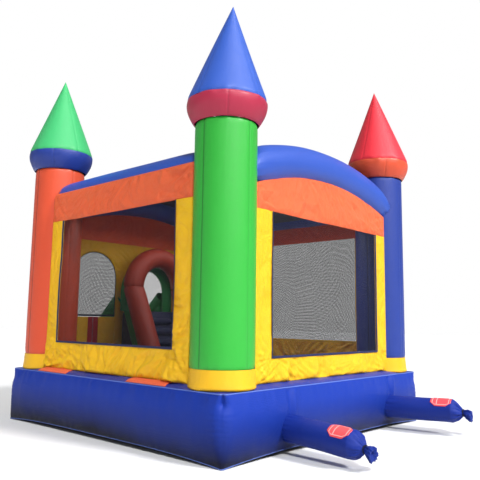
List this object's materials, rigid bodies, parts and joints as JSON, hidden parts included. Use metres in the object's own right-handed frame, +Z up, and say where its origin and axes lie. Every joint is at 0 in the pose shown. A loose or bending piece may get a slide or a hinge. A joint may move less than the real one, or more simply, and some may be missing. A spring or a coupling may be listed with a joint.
{
  "type": "inflatable bounce house",
  "caption": "Square inflatable bounce house with cone-topped corner turrets, net windows, a zipped entrance, an inside climb, a front slide and two tied blower tubes.",
  "frame": {"origin": "middle of the square base on the ground plane", "axes": "+Z up, -Y out of the front wall with the entrance and the slide, +Y towards the blower tubes, +X towards the house's own left side"},
  "size_m": [4.13, 6.9536, 4.78],
  "materials": {
    "base_vinyl": "glossy PVC-coated cloth",
    "underside_vinyl": "matt black PVC-coated cloth",
    "baffle_cloth": "plain woven cloth",
    "pad_vinyl": "coral PVC-coated cloth",
    "yellow_vinyl": "glossy PVC-coated cloth",
    "green_vinyl": "glossy PVC-coated cloth",
    "orange_vinyl": "glossy PVC-coated cloth",
    "royal_vinyl": "glossy PVC-coated cloth",
    "crimson_vinyl": "glossy PVC-coated cloth",
    "spire_blue_vinyl": "glossy PVC-coated cloth",
    "mint_vinyl": "glossy PVC-coated cloth",
    "red_vinyl": "glossy PVC-coated cloth",
    "amber_vinyl": "glossy PVC-coated cloth",
    "beam_vinyl": "glossy PVC-coated cloth",
    "roof_cloth": "slate roof cloth",
    "wall_cloth": "thin yellow vinyl-faced cloth",
    "valance_cloth": "thin salmon-orange vinyl-faced cloth",
    "window_net": "black knotless netting",
    "binding_web": "navy webbing",
    "zip_web": "red zip tape",
    "zip_metal": "silver-painted die-cast metal",
    "navy_vinyl": "glossy PVC-coated cloth",
    "rail_vinyl": "glossy PVC-coated cloth",
    "frame_green_vinyl": "glossy PVC-coated cloth",
    "tube_vinyl": "glossy PVC-coated cloth",
    "tie_web": "dark webbing tie",
    "label_patch": "plain red printed film, no lettering"
  },
  "bodies": {
    "house": {"base_underside": "underside_vinyl", "base_sides": "base_vinyl", "floor_baffles": "baffle_cloth", "bounce_floor": "base_vinyl", "shelf_pads": "pad_vinyl", "turret_feet": "yellow_vinyl", "rear_left_column": "green_vinyl", "front_left_column": "orange_vinyl", "rear_right_column": "royal_vinyl", "front_right_column": "crimson_vinyl", "rear_left_collar": "crimson_vinyl", "front_left_collar": "royal_vinyl", "rear_right_collar": "orange_vinyl", "front_right_collar": "green_vinyl", "rear_left_spire": "spire_blue_vinyl", "front_left_spire": "mint_vinyl", "rear_right_spire": "red_vinyl", "front_right_spire": "amber_vinyl", "left_beam": "beam_vinyl", "right_beam": "beam_vinyl", "rear_arch_beam": "beam_vinyl", "front_arch_beam": "beam_vinyl", "roof_panel": "roof_cloth", "left_wall_panel": "wall_cloth", "right_wall_panel": "wall_cloth", "rear_wall_panel": "wall_cloth", "front_wall_panel": "wall_cloth", "left_window_mesh": "window_net", "right_window_mesh": "window_net", "rear_window_mesh": "window_net", "entrance_mesh": "window_net", "window_bindings": "binding_web", "left_valance": "valance_cloth", "right_valance": "valance_cloth", "rear_valance": "valance_cloth", "front_valance": "valance_cloth", "climb_block": "navy_vinyl", "climb_side_panels": "frame_green_vinyl", "climb_steps": "navy_vinyl", "climb_rail_left": "rail_vinyl", "climb_rail_right": "rail_vinyl", "climb_arch": "rail_vinyl", "exit_frame": "frame_green_vinyl", "slide_bed": "yellow_vinyl", "slide_rail_left": "frame_green_vinyl", "slide_rail_right": "frame_green_vinyl", "entrance_step": "base_vinyl", "blower_tube_left": "tube_vinyl", "blower_tube_right": "tube_vinyl", "tube_ties": "tie_web", "tube_labels": "label_patch"},
    "left_flap": {"entrance_flap_left": "wall_cloth", "zip_tape_left": "zip_web"},
    "right_flap": {"entrance_flap_right": "wall_cloth", "zip_tape_right": "zip_web"},
    "slider": {"zip_slider": "zip_metal"}
  },
  "joints": [
    {"name": "right_flap_swing", "type": "hinge", "parent": "house", "child": "right_flap", "pos_m": [0.437, -1.85, 0.692], "axis": [0, 0, -1], "range_deg": [0, 90]},
    {"name": "left_flap_swing", "type": "hinge", "parent": "house", "child": "left_flap", "pos_m": [1.203, -1.85, 0.692], "axis": [0, 0, 1], "range_deg": [0, 110]},
    {"name": "zip_slide", "type": "slide", "parent": "right_flap", "child": "slider", "axis": [0, 0, 1], "range_m": [0, 0.6]}
  ]
}
